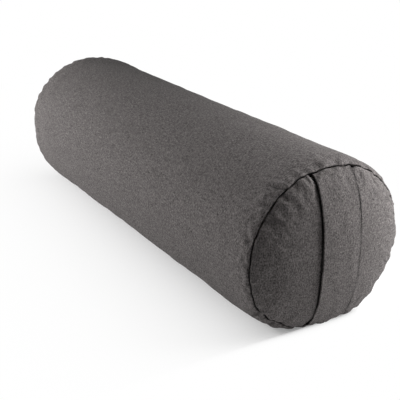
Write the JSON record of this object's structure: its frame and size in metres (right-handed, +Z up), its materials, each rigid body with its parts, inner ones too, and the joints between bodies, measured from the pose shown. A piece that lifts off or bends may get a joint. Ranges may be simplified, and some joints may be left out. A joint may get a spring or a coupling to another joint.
{
  "type": "round yoga bolster",
  "caption": "Round, firm yoga bolster: a zipped canvas cover with domed ends and a flat carry handle across one end, over a zipped cotton bag filled with grain husks.",
  "frame": {"origin": "on the floor, under the middle of the whole bolster", "axes": "+X along the bolster towards the end with the carry handle, +Y to the side with the zip, +Z up"},
  "size_m": [0.716, 0.225, 0.208],
  "materials": {
    "canvas": "matt, finely heathered warm charcoal cotton canvas",
    "calico": "matt unbleached cotton",
    "husks": "loose, dry grain husks",
    "cover_zip_tape": "woven polyester tape",
    "cover_zip_coil": "moulded nylon coil",
    "cover_zip_metal": "dark plated zinc",
    "bag_zip_tape": "woven polyester tape",
    "bag_zip_coil": "moulded nylon coil",
    "bag_zip_metal": "bright plated zinc"
  },
  "bodies": {
    "cover": {"cover_tube": "canvas", "cover_end_front": "canvas", "cover_end_back": "canvas", "carry_handle": "canvas", "inner_bag_tube": "calico", "inner_bag_end_front": "calico", "inner_bag_end_back": "calico", "husk_filling": "husks", "cover_zip_tape_upper": "cover_zip_tape", "cover_zip_tape_lower": "cover_zip_tape", "cover_zip_coil_upper": "cover_zip_coil", "cover_zip_coil_lower": "cover_zip_coil", "cover_zip_top_stop_upper": "cover_zip_metal", "cover_zip_top_stop_lower": "cover_zip_metal", "cover_zip_bottom_stop": "cover_zip_metal", "bag_zip_tape_upper": "bag_zip_tape", "bag_zip_tape_lower": "bag_zip_tape", "bag_zip_coil_upper": "bag_zip_coil", "bag_zip_coil_lower": "bag_zip_coil", "bag_zip_top_stop_upper": "bag_zip_metal", "bag_zip_top_stop_lower": "bag_zip_metal", "bag_zip_bottom_stop": "bag_zip_metal"},
    "cover_zip_slider": {"cover_zip_slider": "cover_zip_metal"},
    "cover_zip_pull": {"cover_zip_pull": "cover_zip_metal"},
    "bag_zip_slider": {"bag_zip_slider": "bag_zip_metal"}
  },
  "joints": [
    {"name": "cover_zip_slide", "type": "slide", "parent": "cover", "child": "cover_zip_slider", "axis": [-1, 0, 0], "range_m": [0, 0.4125], "deforming": ["cover_zip_coil_upper", "cover_zip_coil_lower"]},
    {"name": "cover_zip_pull_hinge", "type": "hinge", "parent": "cover_zip_slider", "child": "cover_zip_pull", "pos_m": [0.20285, 0.1097, 0.13446], "axis": [0, 0.328, -0.9447], "range_deg": [0, 170]},
    {"name": "bag_zip_slide", "type": "slide", "parent": "cover", "child": "bag_zip_slider", "axis": [-1, 0, 0], "range_m": [0, 0.1725], "deforming": ["bag_zip_coil_upper", "bag_zip_coil_lower"]}
  ]
}
